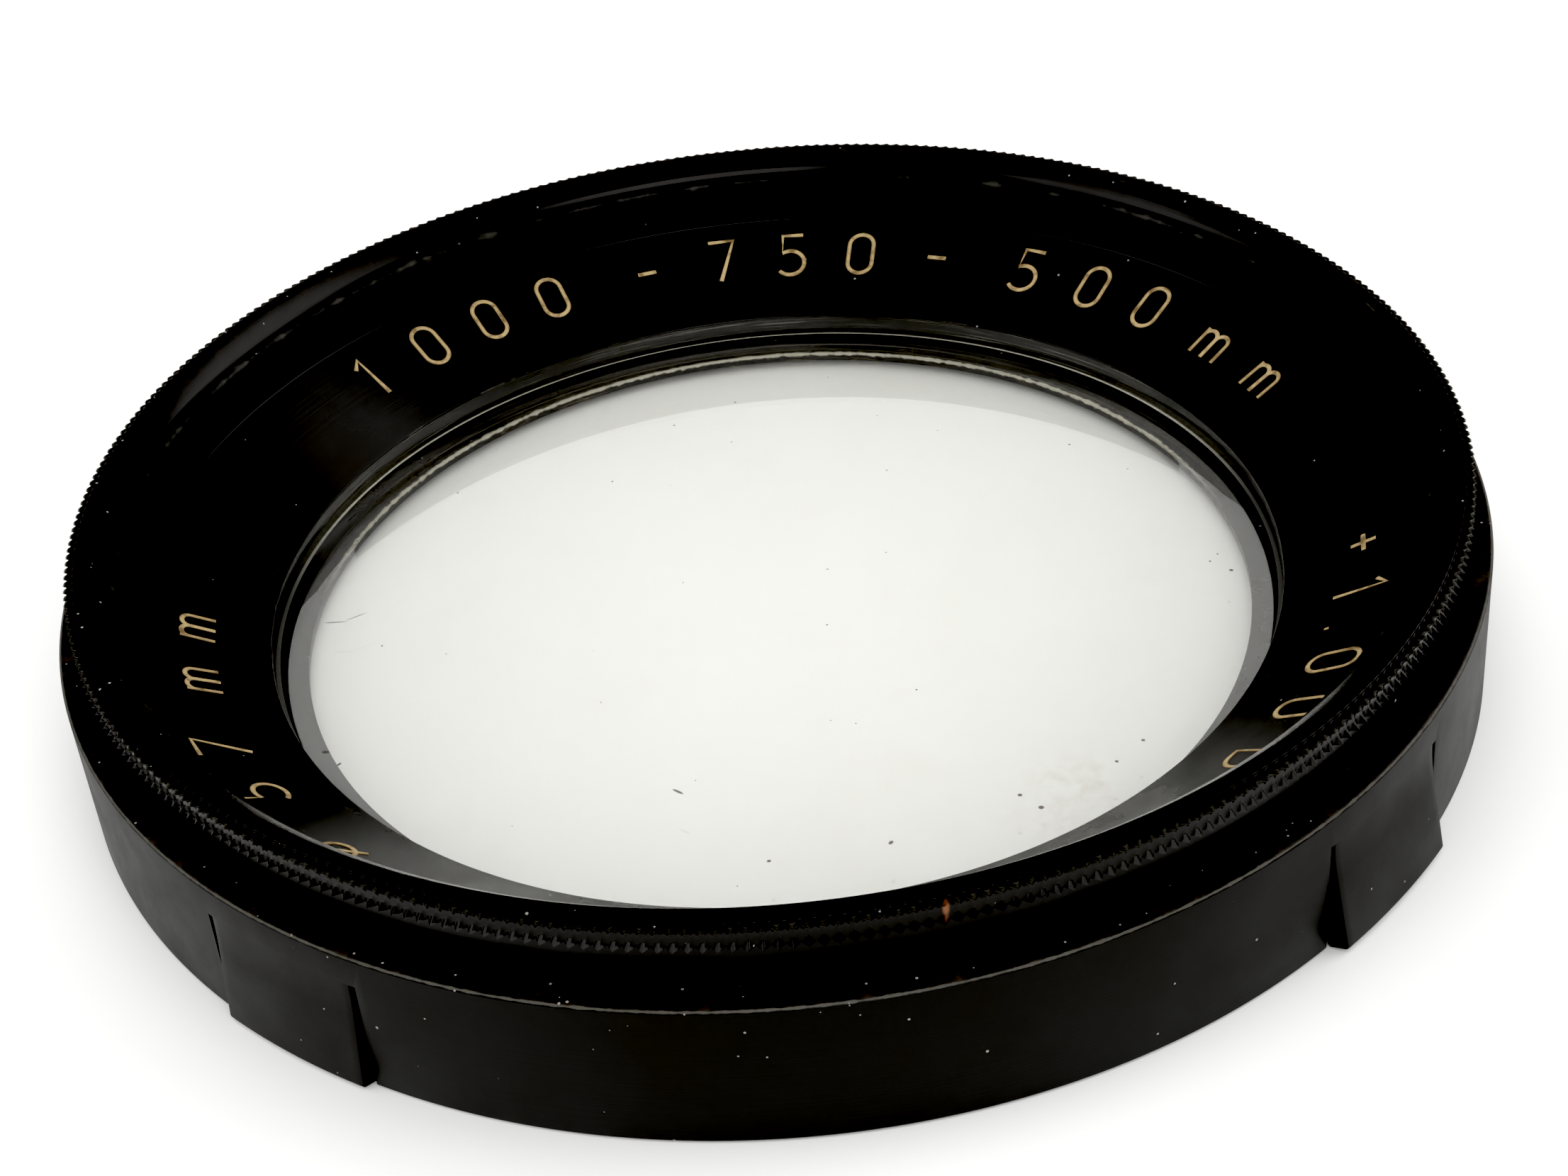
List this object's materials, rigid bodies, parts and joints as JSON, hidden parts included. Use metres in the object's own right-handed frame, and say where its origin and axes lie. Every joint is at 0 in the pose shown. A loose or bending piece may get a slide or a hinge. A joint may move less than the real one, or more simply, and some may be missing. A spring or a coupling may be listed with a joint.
{
  "type": "slip-on portrait lens",
  "caption": "Low round slip-on portrait lens: clear glass in a black lacquered brass cell with a knurled rim, screwed into a collar with spring tongues.",
  "frame": {"origin": "centre of the collar's foot, on the plane it stands on", "axes": "+Z along the optical axis, out of the front of the lens; +X to the right and +Y away, seen from the side that the lens is read from"},
  "size_m": [0.0586, 0.0586, 0.0092],
  "materials": {
    "collar_lacquer": "black lacquer over turned brass, gloss, dusty and rubbed at the edges",
    "cell_lacquer": "gloss black lacquer over turned and knurled brass",
    "ring_lacquer": "satin black lacquer over turned brass, finely scratched",
    "optical_glass": "polished optical glass with a ground bevel, a little dusty",
    "blued_wire": "blackened spring wire, satin",
    "engraving_paint": "matt pale gold paint rubbed into engraved strokes"
  },
  "bodies": {
    "collar": {"collar": "collar_lacquer"},
    "tongue_1": {"spring_tongue_1": "collar_lacquer"},
    "tongue_2": {"spring_tongue_2": "collar_lacquer"},
    "tongue_3": {"spring_tongue_3": "collar_lacquer"},
    "tongue_4": {"spring_tongue_4": "collar_lacquer"},
    "optic": {"glass_element": "optical_glass"},
    "cell": {"lens_cell": "cell_lacquer", "name_ring": "ring_lacquer", "snap_ring": "blued_wire", "engraving_fill": "engraving_paint"}
  },
  "joints": [
    {"name": "cell_lift", "type": "slide", "parent": "collar", "child": "optic", "axis": [0, 0, 1], "range_m": [0, 0.0013]},
    {"name": "cell_turn", "type": "hinge", "parent": "optic", "child": "cell", "pos_m": [0, 0, 0.006], "axis": [0, 0, 1], "range_deg": [0, 936]},
    {"name": "tongue_1_flex", "type": "hinge", "parent": "collar", "child": "tongue_1", "pos_m": [0.01858, 0.02214, 0.00485], "axis": [0.766, -0.6428, 0], "range_deg": [-6.5, 2], "stiffness_Nm_per_rad": 0.5},
    {"name": "tongue_2_flex", "type": "hinge", "parent": "collar", "child": "tongue_2", "pos_m": [-0.02079, 0.02008, 0.00485], "axis": [0.6947, 0.7193, 0], "range_deg": [-6.5, 2], "stiffness_Nm_per_rad": 0.5},
    {"name": "tongue_3_flex", "type": "hinge", "parent": "collar", "child": "tongue_3", "pos_m": [-0.01858, -0.02214, 0.00485], "axis": [-0.766, 0.6428, 0], "range_deg": [-6.5, 2], "stiffness_Nm_per_rad": 0.5},
    {"name": "tongue_4_flex", "type": "hinge", "parent": "collar", "child": "tongue_4", "pos_m": [0.02079, -0.02008, 0.00485], "axis": [-0.6947, -0.7193, 0], "range_deg": [-11.5, 2], "stiffness_Nm_per_rad": 0.5}
  ],
  "couplings": [
    {"joint": "cell_lift", "follows": "cell_turn", "m_per_rad": 0.00007957}
  ]
}
